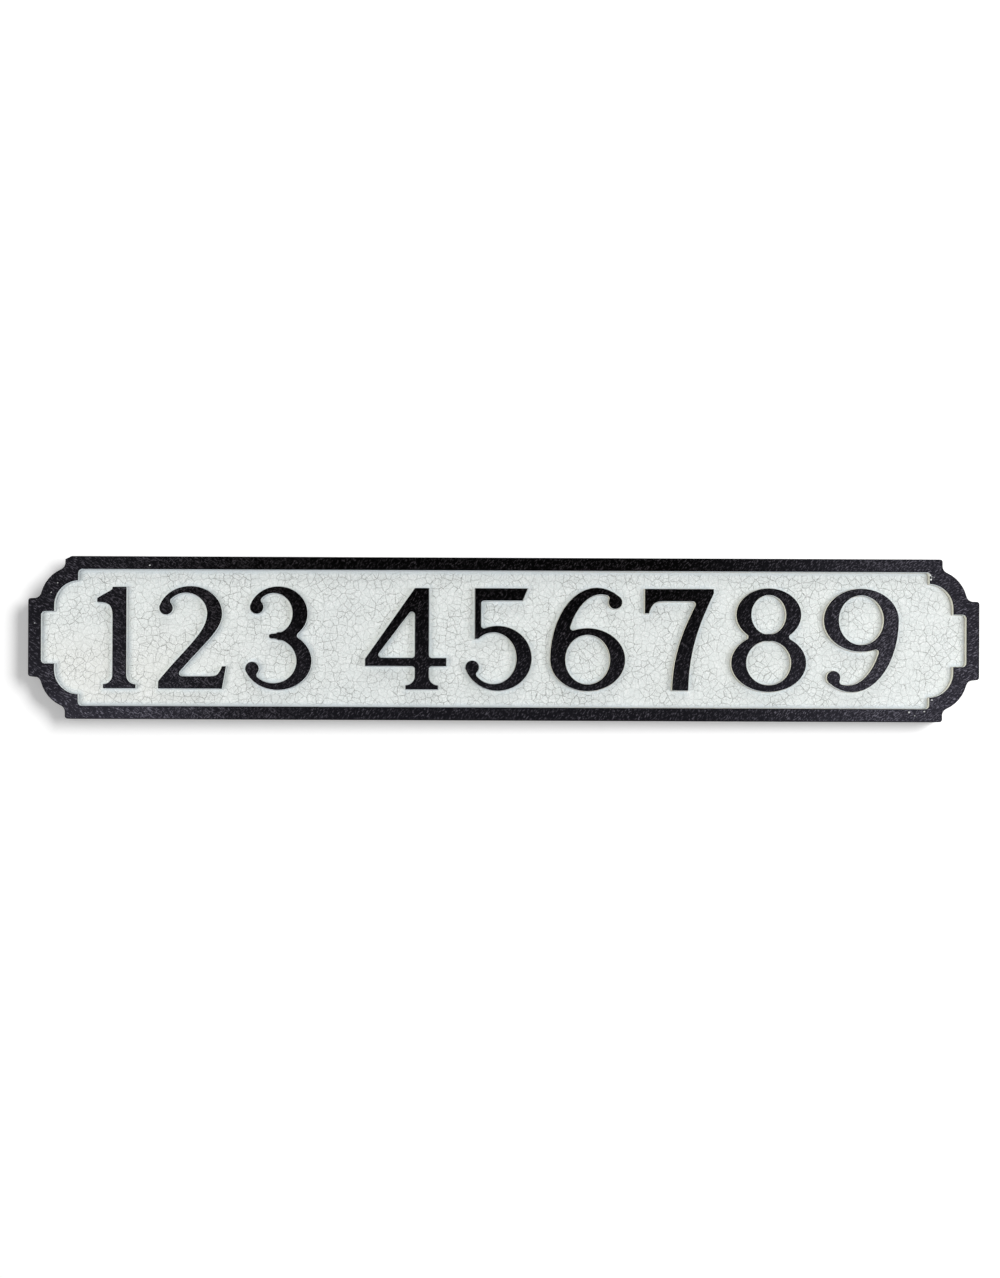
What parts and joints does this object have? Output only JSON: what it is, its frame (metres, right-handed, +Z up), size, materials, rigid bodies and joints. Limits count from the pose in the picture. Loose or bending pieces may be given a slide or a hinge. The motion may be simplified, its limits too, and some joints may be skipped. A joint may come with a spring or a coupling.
{
  "type": "wooden road sign",
  "caption": "Long wooden sign board with stepped round-shouldered ends, a raised black border and raised black numerals on a pale sunk panel, and keyhole slots in its back.",
  "frame": {"origin": "middle of the back face, which lies on the wall", "axes": "+X to the right as the sign is read, +Z up, and the front faces -Y"},
  "size_m": [0.76, 0.015, 0.13],
  "materials": {
    "painted_wood": "off-white crackle paint in the panel, black crackle paint on the border, numerals and edges, raw board behind"
  },
  "bodies": {
    "root": {"sign_board": "painted_wood"}
  },
  "joints": []
}
